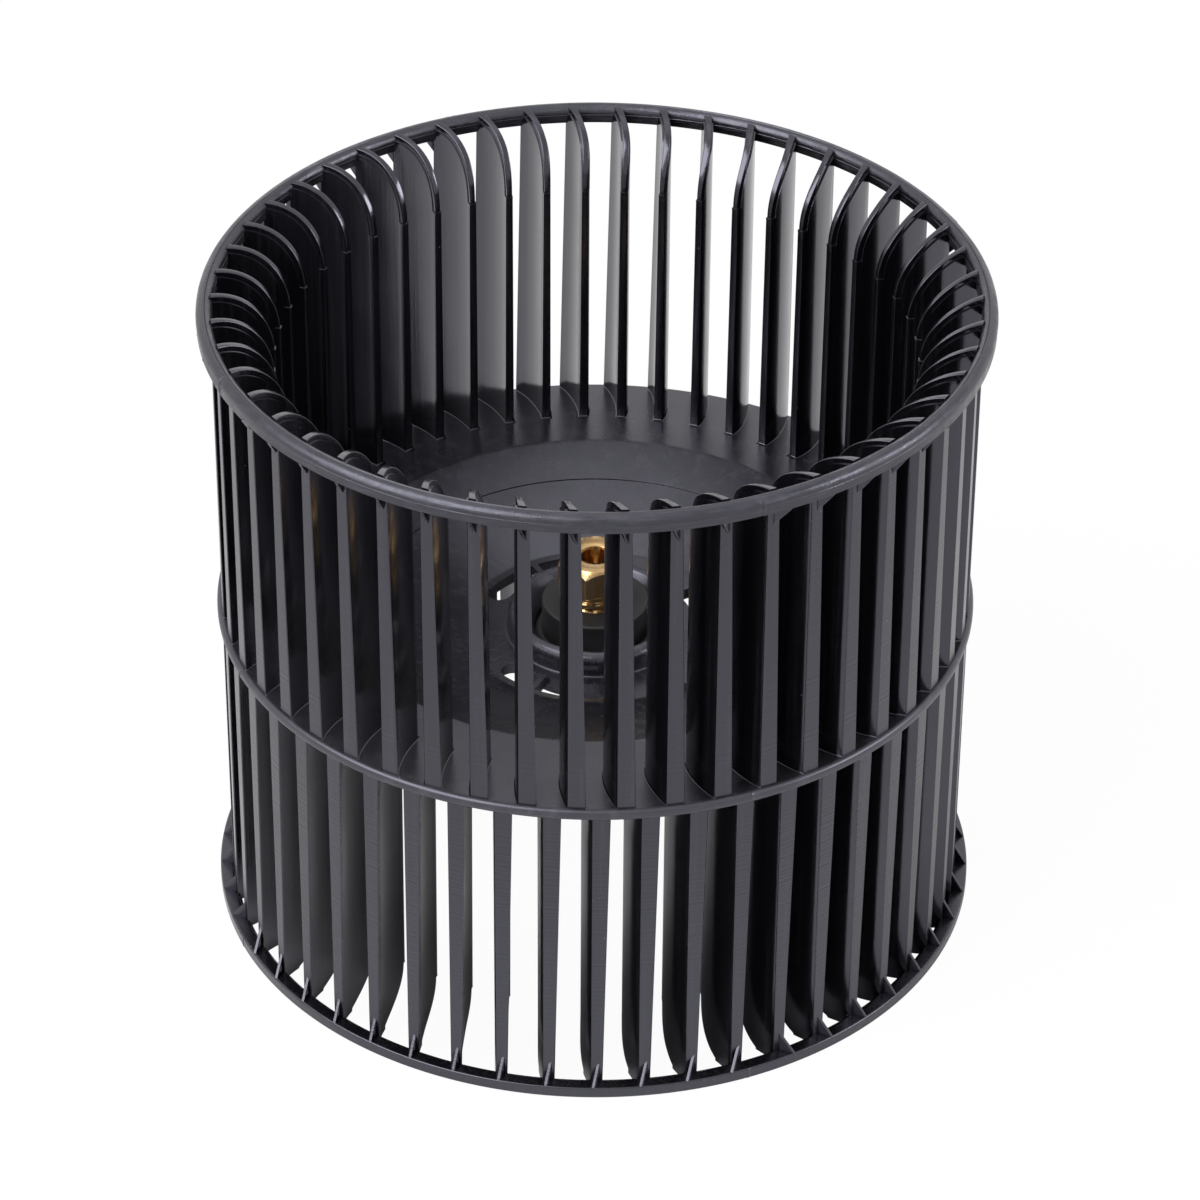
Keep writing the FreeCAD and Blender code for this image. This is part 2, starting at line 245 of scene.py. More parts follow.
# Colours, as linear red, green and blue
BLACK_DARK = (0.0032, 0.0031, 0.0042)
BLACK_LIGHT = (0.012, 0.0117, 0.0142)
SCUFFED_LIGHT = (0.030, 0.029, 0.033)
MOTTLED_DARK = (0.010, 0.0097, 0.012)
MOTTLED_LIGHT = (0.032, 0.031, 0.036)
DUST = (0.30, 0.30, 0.31)
PLASTIC_SHEEN = (0.84, 0.83, 1.0)
RUBBER_DARK = (0.007, 0.0068, 0.008)
RUBBER_LIGHT = (0.013, 0.0126, 0.015)
BRASS_BRIGHT = (0.56, 0.38, 0.19)
BRASS_DARK = (0.47, 0.30, 0.13)
FLOOR_PALE = (0.9, 0.9, 0.9)
WHITE = (1.0, 1.0, 1.0)

# Stage and light. Reflections see the floor as it is lit where it lies near the wheel's centre, and as
# white where it lies far from it. The two distances are the ends of the change between them.
FLOOR_HALF_METRES = 6.0
SHADED_METRES = 0.10
CLEAR_METRES = 0.19
FLOOR_WHITE_SHARE = 0.96
STUDIO_LIGHT = 0.4

# Name, place and size in metres, and power in watts; every lamp is aimed at the wheel's centre
LAMPS = (
    ("key_left", (-1.3, -0.88, 1.4), (1.9, 1.9), 60),
    ("top", (0.0, 0.5, 2.1), (1.4, 1.2), 3),
    ("back", (0.0, 2.2, 0.72), (2.6, 0.8), 3),
    ("fill_right", (1.72, -0.29, 0.76), (0.8, 0.8), 18),
)


def direction(azimuth):
    """Unit vector square to the axis."""
    angle = math.radians(azimuth)
    return Vector((math.cos(angle), math.sin(angle), 0.0))


def new_mesh(name, points, faces):
    """Mesh from points in millimetres."""
    mesh = bpy.data.meshes.new(name)
    mesh.from_pydata([Vector(p) * MM for p in points], [], faces)
    return mesh


def linked(name, data):
    """Object of a mesh, a lamp or a camera, in the scene."""
    made = bpy.data.objects.new(name, data)
    bpy.context.scene.collection.objects.link(made)
    return made


def finished_piece(name, mesh, material, replaced, sharp):
    """Piece of the wheel or its hub. Edges sharper than an angle stay sharp."""
    shell = bmesh.new()
    shell.from_mesh(mesh)
    bmesh.ops.remove_doubles(shell, verts=shell.verts, dist=MERGE_METRES)
    many_sided = [face for face in shell.faces if len(face.verts) > 4]
    bmesh.ops.triangulate(shell, faces=many_sided, ngon_method="BEAUTY")
    bmesh.ops.recalc_face_normals(shell, faces=shell.faces)
    shell.to_mesh(mesh)
    shell.free()
    mesh.shade_smooth()
    mesh.set_sharp_from_angle(angle=math.radians(sharp))
    mesh.materials.clear()
    mesh.materials.append(material)
    piece = linked(name, mesh)
    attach(piece, "root")
    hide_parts(replaced)
    return piece


def mesh_piece(name, points, faces, material, replaced, sharp=30.0):
    """Piece from points in millimetres and faces."""
    return finished_piece(name, new_mesh(name, points, faces), material, replaced, sharp)


def grid_faces(rows, columns, start=0, close_rows=False, close_columns=False):
    """Quads of a grid of points that are stored row by row."""
    faces = []
    for row in range(rows if close_rows else rows - 1):
        for column in range(columns if close_columns else columns - 1):
            a = start + row * columns + column
            b = start + row * columns + (column + 1) % columns
            c = start + (row + 1) % rows * columns + (column + 1) % columns
            d = start + (row + 1) % rows * columns + column
            faces.append((a, b, c, d))
    return faces


def arc(centre, radius, start, end, steps):
    """Points (radius, height) of an arc, its ends included."""
    points = []
    for step in range(steps + 1):
        angle = math.radians(start + (end - start) * step / steps)
        reach = centre[0] + radius * math.cos(angle)
        points.append((reach, centre[1] + radius * math.sin(angle)))
    return points


def revolved(outline, segments, wobble=None, extra=()):
    """Closed outline of (radius, height) pairs turned about Z: points and faces."""
    points = []
    even = [segment * 360.0 / segments for segment in range(segments)]
    azimuths = sorted(even + [azimuth % 360.0 for azimuth in extra])
    for azimuth in azimuths:
        along = direction(azimuth)
        for radius, height in outline:
            lift = wobble(azimuth, radius, height) if wobble else (0.0, 0.0)
            points.append(along * (radius + lift[0]) + Vector((0, 0, height + lift[1])))
    faces = grid_faces(len(azimuths), len(outline), close_rows=True, close_columns=True)
    return points, faces


def rounded(outline, radius):
    """Closed outline with each corner cut to a small arc-like curve."""
    steps = 3
    result = []
    count = len(outline)
    for index, corner in enumerate(outline):
        corner = Vector(corner)
        before = Vector(outline[index - 1]) - corner
        after = Vector(outline[(index + 1) % count]) - corner
        run = min(radius, before.length * 0.45, after.length * 0.45)
        start = corner + before.normalized() * run
        end = corner + after.normalized() * run
        for step in range(steps + 1):
            t = step / steps
            result.append(tuple(start * (1 - t) ** 2 + corner * 2 * t * (1 - t) + end * t ** 2))
    return result


def shifted(place, offsets):
    """Points of an outline at small offsets from one place."""
    return [(place[0] + across, place[1] + up) for across, up in offsets]


def supported(outline, reach=0.4):
    """Closed outline with a point near both ends of each long side, so that flat faces shade flat."""
    result = []
    for index, corner in enumerate(outline):
        start, end = Vector(corner), Vector(outline[(index + 1) % len(outline)])
        result.append(tuple(start))
        length = (end - start).length
        if length > 4 * reach:
            result.append(tuple(start.lerp(end, reach / length)))
            result.append(tuple(start.lerp(end, 1 - reach / length)))
    return result


# Blades

def arc_centre(start, end, radius):
    """Centre of the circle through two plan points, on the side that the blade curves towards."""
    chord = end - start
    reach = math.sqrt(radius ** 2 - (chord.length / 2) ** 2)
    return (start + end) / 2 + Vector((-chord.y, chord.x)).normalized() * reach


def convex_side(x):
    """Curved most at the inner edge and nearly straight at the outer one."""
    length = BLADE_OUTER - BLADE_INNER
    mean_slope = (BLADE_LEAN + BLADE_INNER_WIDTH / 2) / length
    inner_slope = 3 * mean_slope - 2 * CONVEX_OUTER_SLOPE
    t = (x - BLADE_INNER) / length
    rise = inner_slope * t + (CONVEX_OUTER_SLOPE - inner_slope) * (t ** 2 - t ** 3 / 3)
    return length * rise - BLADE_INNER_WIDTH / 2


def concave_side(x, height):
    """An arc through both edges, which the draft draws in with the height."""
    share = height / BLADE_LENGTH
    inner = Vector((BLADE_INNER, BLADE_INNER_WIDTH / 2 - INNER_DRAFT * share))
    outer = Vector((BLADE_OUTER, BLADE_LEAN + BLADE_OUTER_WIDTH - OUTER_DRAFT * share))
    centre = arc_centre(inner, outer, CONCAVE_RADIUS)
    return centre.y - math.sqrt(CONCAVE_RADIUS ** 2 - (x - centre.x) ** 2)


def smooth_step(low, high, value):
    """0 up to the low value, 1 from the high one, and a soft step between them."""
    t = min(max((value - low) / (high - low), 0.0), 1.0)
    return t * t * (3 - 2 * t)


def blade_levels(steepest):
    """(height, corner angle) of each row of points, from the disc to the ring."""
    foot = DISC_THICKNESS / 2
    heights = [foot - FOOT_ROOT]
    heights += [foot + FOOT_FILLET * share for share in (0.0, 0.12, 0.35, 0.65, 1.0)]
    heights += BLADE_LEVELS
    heights += [SEAM_HEIGHT - below for below in (SEAM_FADE, SEAM_CREST, 0.04, 0.0)]
    levels = [(height, 0.0) for height in heights]
    levels += [(SEAM_HEIGHT, steepest * (step + 0.5) / (CORNER_STEPS - 0.5)) for step in range(CORNER_STEPS)]
    return levels


def in_corner(height, corner):
    """Whether a row lies in the blade's round corner and not on its straight part."""
    return corner > 0 or height > SEAM_HEIGHT - SEAM_GAP


def seam_growth(height, corner):
    """The straight part's inner edge stands proud of the corner's, with a burr at its end."""
    if in_corner(height, corner):
        return 0.0
    burr = smooth_step(SEAM_HEIGHT - SEAM_FADE, SEAM_HEIGHT - SEAM_CREST, height)
    return SEAM_STEP + (SEAM_BURR - SEAM_STEP) * burr


def ledge_depth(height, corner):
    """How far the strip along the round corner lies below the blade's sides."""
    if not in_corner(height, corner):
        return 0.0
    return LEDGE_STEP + LEDGE_GROWTH * smooth_step(10, 60, corner)


def foot_spread(height, corner):
    """How far the fillet at the blade's foot stands out on each side."""
    above = height - DISC_THICKNESS / 2
    if corner > 0 or above >= FOOT_FILLET:
        return 0.0
    drop = FOOT_FILLET - max(above, 0.0)
    return FOOT_FILLET - math.sqrt(FOOT_FILLET ** 2 - drop ** 2)


def outer_reach(y):
    """X of the cylinder through the blades' outer faces."""
    return math.sqrt(BLADE_OUTER ** 2 - y ** 2)


def blade_row(height, corner, limit):
    """Closed loop of points round the blade at one level, in its own place on +X."""
    angle = math.radians(corner)
    inward = Vector((math.cos(angle), -math.sin(angle)))
    edge = Vector((BLADE_INNER + CORNER_RADIUS, height)) - inward * CORNER_RADIUS
    step = ledge_depth(height, corner)
    proud = seam_growth(height, corner)
    fillet = foot_spread(height, corner)
    last = Vector((BLADE_OUTER, min(edge.y, limit)))
    turn = edge + inward * (LEDGE_REACH + LEDGE_RUN + LEDGE_MARGIN)
    convex, concave = [], []

    def add(place, share, inset=0.0, grown=0.0):
        """One point on each side; share is 0 on the strip and 1 behind the ledge."""
        low = convex_side(place.x) + step * (1 - share)
        high = concave_side(place.x, place.y) - step * (1 - share)
        convex.append(Vector((place.x - grown, low + inset - fillet, place.y)))
        concave.append(Vector((place.x - grown, high - inset + fillet, place.y)))

    for degrees in (0, 22, 45, 68, 90):
        round_angle = math.radians(degrees)
        reach = STRIP_EDGE * (1 - math.cos(round_angle))
        add(edge + inward * reach, 0.0, STRIP_EDGE * (1 - math.sin(round_angle)), FOOT_TOE * fillet + proud)
    for share in (0.0, 0.15, 0.85, 1.0):
        add(edge + inward * (LEDGE_REACH + LEDGE_RUN * share), share)
    for share in (0.0, 0.22, 0.42, 0.6, 0.78, 1.0):
        add(turn.lerp(last, share), 1.0)
    for line, sign in ((convex, 1), (concave, -1)):
        end = line[-1]
        end.x = outer_reach(end.y) - OUTER_EDGE
        rim_y = end.y + sign * OUTER_EDGE
        line.append(Vector((outer_reach(rim_y), rim_y, end.z)))
    centre_y = (convex[-1].y + concave[-1].y) / 2
    face_middle = Vector((outer_reach(centre_y), centre_y, convex[-1].z))
    return list(reversed(convex)) + concave + [face_middle]


def blade_rows(upward):
    """All rows of one blade. The lower blades end flat, just above the ground."""
    if upward:
        reach = BLADE_INNER + CORNER_RADIUS - BLADE_OUTER + CORNER_MARGIN
        steepest = math.degrees(math.acos(reach / CORNER_RADIUS))
        return [blade_row(height, corner, UPPER_LIMIT) for height, corner in blade_levels(steepest)]
    steepest = math.degrees(math.asin((LOWER_LIMIT - SEAM_HEIGHT) / CORNER_RADIUS))
    rows = [blade_row(height, corner, LOWER_LIMIT) for height, corner in blade_levels(steepest)]
    rows.append([Vector((point.x, point.y, LOWER_LIMIT + LOWER_END)) for point in rows[-1]])
    return rows


def end_cap(first, columns):
    """Faces that close a blade's row of points from one side of the blade to the other."""
    half = (columns - 1) // 2
    faces = [(first, first + 2 * half - 1, first + 2 * half)]
    for index in range(half - 1):
        near, far = half - 1 - index, half + index
        faces.append((first + near, first + near - 1, first + far + 1, first + far))
    return faces


def blade_ring(name, first_azimuth, upward, material):
    """All blades of one row in one mesh, standing on the disc's middle plane."""
    rows = blade_rows(upward)
    columns = len(rows[0])
    points, faces = [], []
    for index in range(BLADE_COUNT):
        turn = Matrix.Rotation(math.radians(first_azimuth + index * PITCH), 3, "Z")
        start = len(points)
        for point in (point for row in rows for point in row):
            height = DISC_MIDDLE + point.z * (1 if upward else -1)
            points.append(turn @ Vector((point.x, point.y, height)))
        faces += grid_faces(len(rows), columns, start, close_columns=True)
        faces += end_cap(start, columns)
        faces += end_cap(start + (len(rows) - 1) * columns, columns)
    return mesh_piece(name, points, faces, material, "wheel", sharp=38.0)


# Rings and gussets

def from_parting(azimuth):
    """Degrees to the nearest of the four places where the mould's slides part."""
    return (azimuth - PARTING_AZIMUTH + SLIDE_STEP / 2) % SLIDE_STEP - SLIDE_STEP / 2


def near_partings():
    """Extra azimuths, off the even ones, that carry the fine shape of the parting marks."""
    places = [PARTING_AZIMUTH + SLIDE_STEP * index for index in range(SLIDE_COUNT)]
    return [place + step + PARTING_SHIFT for place in places for step in PARTING_STEPS]


def ridge_share(azimuth):
    """1 where two slides part, and 0 from a tenth of a degree on."""
    return 1 - smooth_step(0.02, 0.12, abs(from_parting(azimuth)))


def ring_wobble(azimuth, radius, height):
    """Slight waviness of the moulded bead, with a ridge and burrs where the mould's slides part."""
    off = from_parting(azimuth)
    step = BEAD_STEP if 0 < off < SLIDE_STEP / 2 else -BEAD_STEP
    grain = noise.noise(Vector((azimuth * 2.7, height * 1.9, radius)))
    burr = BEAD_BURR * grain * (1 - smooth_step(0.5, 1.3, abs(off)))
    outward = step * (1 - smooth_step(0.3, 6.0, abs(off))) + BEAD_RIDGE * ridge_share(azimuth) + burr
    wave = BEAD_WAVE * noise.noise(direction(azimuth) * 2.1)
    rise = wave + BEAD_RIPPLE * noise.noise(direction(azimuth) * 9.0 + Vector((0, 0, radius)))
    share = (radius - WHEEL_RADIUS + UPPER_RING_WIDTH / 2) / (UPPER_RING_WIDTH / 2)
    return outward * max(share, 0.0), rise + max(burr, 0.0) * 0.5


def rim_ridge(azimuth, radius, height):
    """Low ridge on an outer edge where the mould's slides part."""
    return (RIM_RIDGE * ridge_share(azimuth) if radius > RIDGE_RADIUS else 0.0), 0.0


def upper_ring(material):
    """Round bead with a fine groove along its crown, a narrow neck below it, and the band."""
    bead = UPPER_RING_WIDTH / 2
    inner = WHEEL_RADIUS - UPPER_RING_WIDTH
    band = WHEEL_RADIUS - BAND_SETBACK
    neck = WHEEL_RADIUS - NECK_SETBACK
    inner_neck = inner + NECK_INSET
    foot, shoulder = UPPER_RING_FOOT, UPPER_RING_SHOULDER
    crown = (WHEEL_RADIUS - bead, shoulder)
    outline = [(inner + BAND_EDGE, foot), (band - BAND_CHAMFER, foot), (band, foot + BAND_EDGE)]
    outline += [(band, shoulder - 0.35), (neck, shoulder - 0.28), (neck, shoulder - 0.18)]
    outline.append((WHEEL_RADIUS, shoulder - 0.1))
    outline += arc(crown, bead, 0, TOP_GROOVE_ANGLE - TOP_GROOVE_SPREAD, 9)
    outline += arc(crown, bead - TOP_GROOVE_DEPTH, TOP_GROOVE_ANGLE - 1, TOP_GROOVE_ANGLE + 1, 1)
    outline += arc(crown, bead + TOP_GROOVE_STEP, TOP_GROOVE_ANGLE + TOP_GROOVE_SPREAD, 180, 8)
    outline += [(inner_neck, shoulder - 0.1), (inner_neck, shoulder - 0.25)]
    outline += [(inner, shoulder - 0.35), (inner, foot + BAND_EDGE)]
    points, faces = revolved(outline, 400, ring_wobble, near_partings())
    return mesh_piece("upper_ring", points, faces, material, "wheel", sharp=40)


def lower_ring(material):
    """Flat flange that the wheel stands on, chamfered at the air inlet."""
    inner = WHEEL_RADIUS - LOWER_RING_WIDTH
    outline = rounded([
        (inner, -HALF_HEIGHT),
        (WHEEL_RADIUS, -HALF_HEIGHT),
        (WHEEL_RADIUS, LOWER_RING_TOP),
        (inner + LOWER_RING_CHAMFER, LOWER_RING_TOP),
        (inner, LOWER_RING_TOP - LOWER_RING_CHAMFER),
    ], LOWER_RING_ROUND)
    points, faces = revolved(supported(outline, 0.15), 360, rim_ridge, near_partings())
    return mesh_piece("lower_ring", points, faces, material, "wheel", sharp=40)


def outer_face_azimuth(blade_azimuth):
    """Azimuth of the middle of a blade's outer face."""
    middle = BLADE_LEAN + (BLADE_OUTER_WIDTH - OUTER_DRAFT / 2) / 2
    return blade_azimuth + math.degrees(math.asin(middle / BLADE_OUTER))


def gusset(azimuth, base, height):
    """Thin triangle from a ring's lip to a blade's outer face, with eased edges."""
    slide = SLIDE_AZIMUTH + SLIDE_STEP * round((azimuth - SLIDE_AZIMUTH) / SLIDE_STEP)
    along = direction(slide)
    side = Vector((-along.y, along.x, 0))
    foot = direction(azimuth) * BLADE_OUTER
    inward = foot.dot(along)
    edge = WHEEL_RADIUS - GUSSET_SETBACK
    reach = math.sqrt(inward ** 2 - foot.length_squared + edge ** 2) - inward
    root = math.copysign(GUSSET_ROOT, height)
    tip = (-GUSSET_ROOT, base + height * GUSSET_OVERSHOOT)
    outline = [(-GUSSET_ROOT, base - root), (reach, base - root), (reach, base), tip]
    points = []
    for half, inset in ((-1.0, 0.12), (-0.72, 0.0), (0.72, 0.0), (1.0, 0.12)):
        middle = Vector((reach * 0.3, base + height * 0.3))
        for run, rise in outline:
            place = Vector((run, rise)).lerp(middle, inset)
            offset = side * (half * GUSSET_THICKNESS / 2)
            points.append(foot + along * place.x + offset + Vector((0, 0, place.y)))
    faces = grid_faces(4, 4, close_columns=True)
    faces += [(3, 2, 1, 0), (12, 13, 14, 15)]
    return points, faces


def gussets(material):
    """One at each blade, on the lip of the ring that the blade ends in."""
    points, faces = [], []
    for index in range(BLADE_COUNT):
        upper = BLADE_AZIMUTH + index * PITCH
        lower = upper + PITCH / 2
        for azimuth, base, height in (
            (outer_face_azimuth(upper), UPPER_RING_FOOT, -GUSSET_HEIGHT),
            (outer_face_azimuth(lower), LOWER_RING_TOP, GUSSET_HEIGHT),
        ):
            more, quads = gusset(azimuth, base, height)
            start = len(points)
            points += more
            faces += [tuple(start + corner for corner in face) for face in quads]
    return mesh_piece("gussets", points, faces, material, "wheel")


# Disc

def disc_outline():
    """Collar, floor, dish and rim, from the bore out along the top side and back along the lower one."""
    rim = BLADE_OUTER + RIM_STEP
    shoulder = COLLAR_RADIUS - COLLAR_ROUND
    foot = (COLLAR_RADIUS + COLLAR_FOOT_ROUND, FLOOR_TOP + COLLAR_FOOT_ROUND)
    insert_run = INSERT_RADIUS - FLOOR_RADIUS
    groove = FLOOR_TOP + (DISC_TOP - FLOOR_TOP) * insert_run / (DISH_RADIUS - FLOOR_RADIUS)
    outline = [(COLLAR_BORE, COLLAR_BOTTOM), (COLLAR_BORE, COLLAR_TOP - FUNNEL_DEPTH)]
    outline += [(shoulder - 0.6, COLLAR_TOP - 0.35), (shoulder - 0.2, COLLAR_TOP - 0.06)]
    outline += arc((shoulder, COLLAR_TOP - COLLAR_ROUND), COLLAR_ROUND, 90, 0, 8)
    outline += arc(foot, COLLAR_FOOT_ROUND, 180, 270, 4)
    outline += shifted((FLOOR_RADIUS, FLOOR_TOP), FLOOR_BEND)
    outline += shifted((INSERT_RADIUS, groove), INSERT_GROOVE)
    outline += shifted((DISH_RADIUS, DISC_TOP), DISH_BEND)
    outline += arc((rim, DISC_TOP - RIM_ROUND), RIM_ROUND, 90, 0, 6)
    outline += arc((rim, DISC_BOTTOM + RIM_ROUND), RIM_ROUND, 0, -90, 6)
    outline += [(DISH_RADIUS, DISC_BOTTOM), (FLOOR_RADIUS, FLOOR_BOTTOM), (COLLAR_RADIUS, FLOOR_BOTTOM)]
    outline += [(COLLAR_RADIUS, COLLAR_BOTTOM + COLLAR_EDGE), (COLLAR_RADIUS - COLLAR_EDGE, COLLAR_BOTTOM)]
    return outline


def slot_side(start, end, radius):
    """Points of one curved side of a slot."""
    azimuths = [start + (end - start) * step / SLOT_STEPS for step in range(SLOT_STEPS + 1)]
    return [direction(azimuth) * radius for azimuth in azimuths]


def slot_end(azimuth, first_turn):
    """Points of a slot's half-round end, between its two curved sides."""
    centre = direction(azimuth) * SLOT_MIDDLE
    turns = [first_turn + 180.0 * step / SLOT_END_STEPS for step in range(1, SLOT_END_STEPS)]
    return [centre + direction(turn) * (SLOT_WIDTH / 2) for turn in turns]


def slot_cutter(azimuth, rib_azimuth):
    """Prisms of one curved slot, either side of its rib."""
    end_span = math.degrees(SLOT_WIDTH / 2 / SLOT_MIDDLE)
    rib_span = math.degrees(RIB_THICKNESS / 2 / SLOT_MIDDLE)
    start, before_rib = azimuth - SLOT_SPAN / 2 + end_span, rib_azimuth - rib_span
    after_rib, end = rib_azimuth + rib_span, azimuth + SLOT_SPAN / 2 - end_span
    outlines = (
        slot_side(start, before_rib, SLOT_OUTER)
        + slot_side(before_rib, start, SLOT_INNER)
        + slot_end(start, start + 180.0),
        slot_side(after_rib, end, SLOT_OUTER)
        + slot_end(end, end)
        + slot_side(end, after_rib, SLOT_INNER),
    )
    points, faces = [], []
    for outline in outlines:
        first, count = len(points), len(outline)
        for height in (FLOOR_BOTTOM - 1.0, FLOOR_TOP + 1.0):
            points += [point + Vector((0, 0, height)) for point in outline]
        faces += grid_faces(2, count, first, close_columns=True)
        faces.append(tuple(range(first + count - 1, first - 1, -1)))
        faces.append(tuple(range(first + count, first + 2 * count)))
    return points, faces


def applied(piece_object):
    """Mesh of an object with its modifiers applied; the object itself is removed."""
    graph = bpy.context.evaluated_depsgraph_get()
    mesh = bpy.data.meshes.new_from_object(piece_object.evaluated_get(graph))
    bpy.data.objects.remove(piece_object)
    return mesh


def loose_object(name, points, faces):
    """Object to cut or to cut with, its faces turned outwards."""
    mesh = new_mesh(name, points, faces)
    shell = bmesh.new()
    shell.from_mesh(mesh)
    bmesh.ops.recalc_face_normals(shell, faces=shell.faces)
    shell.to_mesh(mesh)
    shell.free()
    return linked(name, mesh)


def cut(body, cutters, bevel=0.0):
    """Mesh of a body less its cutters, with a small bevel on the sharp edges where one is given."""
    for cutter in cutters:
        boolean = body.modifiers.new("cut", "BOOLEAN")
        boolean.operation = "DIFFERENCE"
        boolean.solver = "EXACT"
        boolean.object = cutter
    if bevel:
        eased = body.modifiers.new("ease", "BEVEL")
        eased.width = bevel * MM
        eased.segments = 1
        eased.limit_method = "ANGLE"
        eased.angle_limit = math.radians(50)
    bpy.context.view_layer.update()
    mesh = applied(body)
    for cutter in cutters:
        bpy.data.objects.remove(cutter)
    return mesh


def disc(material):
    """Disc with its dish and collar, less the slots."""
    points, faces = revolved(supported(disc_outline()), 240, rim_ridge, near_partings())
    body = loose_object("disc_blank", points, faces)
    cutters = []
    for index in range(SLOT_COUNT):
        turn = 360.0 / SLOT_COUNT * index
        prisms = slot_cutter(SLOT_AZIMUTH + turn, RIB_AZIMUTH + turn)
        cutters.append(loose_object(f"slot_{index}", *prisms))
    mesh = cut(body, cutters, SLOT_EDGE)
    return finished_piece("disc", mesh, material, "wheel", sharp=28)


# Hub

def hub_bush(material):
    """Sleeve in the collar, with a flange below it and a raised end above."""
    outline = rounded([
        (THREAD_RADIUS, BUSH_BOTTOM),
        (BUSH_FLANGE, BUSH_BOTTOM),
        (BUSH_FLANGE, COLLAR_BOTTOM),
        (COLLAR_BORE, COLLAR_BOTTOM),
        (COLLAR_BORE, BUSH_STEP),
        (BUSH_RADIUS, BUSH_STEP),
        (BUSH_RADIUS, BUSH_TOP),
        (THREAD_RADIUS, BUSH_TOP),
    ], BUSH_ROUND)
    points, faces = revolved(supported(outline, 0.3), 160)
    return mesh_piece("bush", points, faces, material, "hub_bush", sharp=40)


def thread_depth(azimuth, height):
    """How far the thread's groove reaches in at one place of the collet's outside."""
    phase = (height - BUSH_TOP) / THREAD_PITCH - azimuth / 360.0 + 0.1
    wave = 0.5 - 0.5 * math.cos(2 * math.pi * phase)
    return THREAD_DEPTH * smooth_step(0.35, 0.95, wave)


def thread_lift(azimuth, radius, height):
    """Moves the points of the collet's outside in to the thread, between its ends."""
    low, high = BUSH_TOP - THREAD_ROOT + THREAD_MARGIN, TAPER_BASE - THREAD_MARGIN
    threaded = radius == THREAD_RADIUS and low < height < high
    return (-thread_depth(azimuth, height) if threaded else 0.0), 0.0


def slit_cutter(azimuth):
    """Box through one side of the collet's end."""
    along = direction(azimuth)
    side = Vector((-along.y, along.x, 0)) * (SLIT_WIDTH / 2)
    far = along * SLIT_REACH
    ring = [side, far + side, far - side, -side]
    low, high = Vector((0, 0, NUT_BOTTOM - SLIT_FOOT)), Vector((0, 0, NUT_TOP + 1))
    points = [point + low for point in ring] + [point + high for point in ring]
    return points, grid_faces(2, 4, close_columns=True) + [(3, 2, 1, 0), (4, 5, 6, 7)]


def collet(material):
    """Sleeve with a flange below, a thread on its outside and a slit, tapered end."""
    outline = [(BORE_RADIUS, TIP_TOP - 0.3), (BORE_RADIUS, COLLET_BOTTOM)]
    outline += [(COLLET_FLANGE - COLLET_EDGE, COLLET_BOTTOM), (COLLET_FLANGE, COLLET_BOTTOM + COLLET_EDGE)]
    outline += [(COLLET_FLANGE, BUSH_BOTTOM), (THREAD_RADIUS, BUSH_BOTTOM)]
    rise = TAPER_BASE - BUSH_TOP + THREAD_ROOT
    for step in range(THREAD_STEPS + 1):
        outline.append((THREAD_RADIUS, BUSH_TOP - THREAD_ROOT + rise * step / THREAD_STEPS))
    outline += [(TAPER_RADIUS, TAPER_BASE), (TIP_RADIUS, TIP_TOP - 0.08), (TIP_RADIUS - 0.06, TIP_TOP)]
    outline.append((BORE_RADIUS + 0.1, TIP_TOP))
    points, faces = revolved(outline, 120, thread_lift)
    body = loose_object("collet_blank", points, faces)
    cutters = []
    for index in range(SLIT_COUNT):
        azimuth = SLIT_AZIMUTH + 360.0 / SLIT_COUNT * index
        cutters.append(loose_object(f"slit_{index}", *slit_cutter(azimuth)))
    mesh = cut(body, cutters)
    return finished_piece("threaded_collet", mesh, material, "collet", sharp=35)


def hexagon_reach(azimuth):
    """Distance from the axis to the hexagon's side, with rounded corners."""
    half, rounding = NUT_FLATS / 2, NUT_CORNER_ROUND
    off = (azimuth - NUT_CORNER_AZIMUTH) % 60.0
    corner_off = math.radians(min(off, 60.0 - off))
    face_off = math.radians(30.0) - corner_off
    if half * math.tan(face_off) <= (half - rounding) * math.tan(math.radians(30.0)):
        return half / math.cos(face_off)
    centre = (half - rounding) / math.cos(math.radians(30.0))
    return centre * math.cos(corner_off) + math.sqrt(rounding ** 2 - (centre * math.sin(corner_off)) ** 2)


def nut_outline(reach):
    """Section of the nut at one azimuth, from the thread round the outside to the taper inside."""
    chamfer = max(reach - NUT_CROWN, 0.0)
    return [
        (THREAD_RADIUS - 0.2, NUT_BOTTOM + 0.6),
        (THREAD_RADIUS + 0.4, NUT_BOTTOM),
        (reach - NUT_EDGE, NUT_BOTTOM),
        (reach, NUT_BOTTOM + NUT_EDGE),
        (reach, NUT_TOP - chamfer - 0.08),
        (reach - 0.05, NUT_TOP - chamfer),
        (NUT_CROWN + 0.06, NUT_TOP - 0.04),
        (NUT_CROWN - 0.06, NUT_TOP),
        (MOUTH_RADIUS + 0.55, NUT_TOP),
        (MOUTH_RADIUS + 0.45, NUT_TOP - 0.03),
        (MOUTH_RADIUS, NUT_TOP - 0.35),
        (MOUTH_RADIUS + 0.25, NUT_TOP - 1.2),
        (TAPER_RADIUS, TAPER_BASE),
    ]


def nut(material):
    """Hexagonal nut, with the mouth in which the collet's tip shows."""
    segments = 240
    points = []
    for segment in range(segments):
        azimuth = segment * 360.0 / segments
        outline = nut_outline(hexagon_reach(azimuth))
        points += [direction(azimuth) * radius + Vector((0, 0, height)) for radius, height in outline]
    faces = grid_faces(segments, len(outline), close_rows=True, close_columns=True)
    return mesh_piece("hex_nut", points, faces, material, "clamp_nut", sharp=25)


# Materials

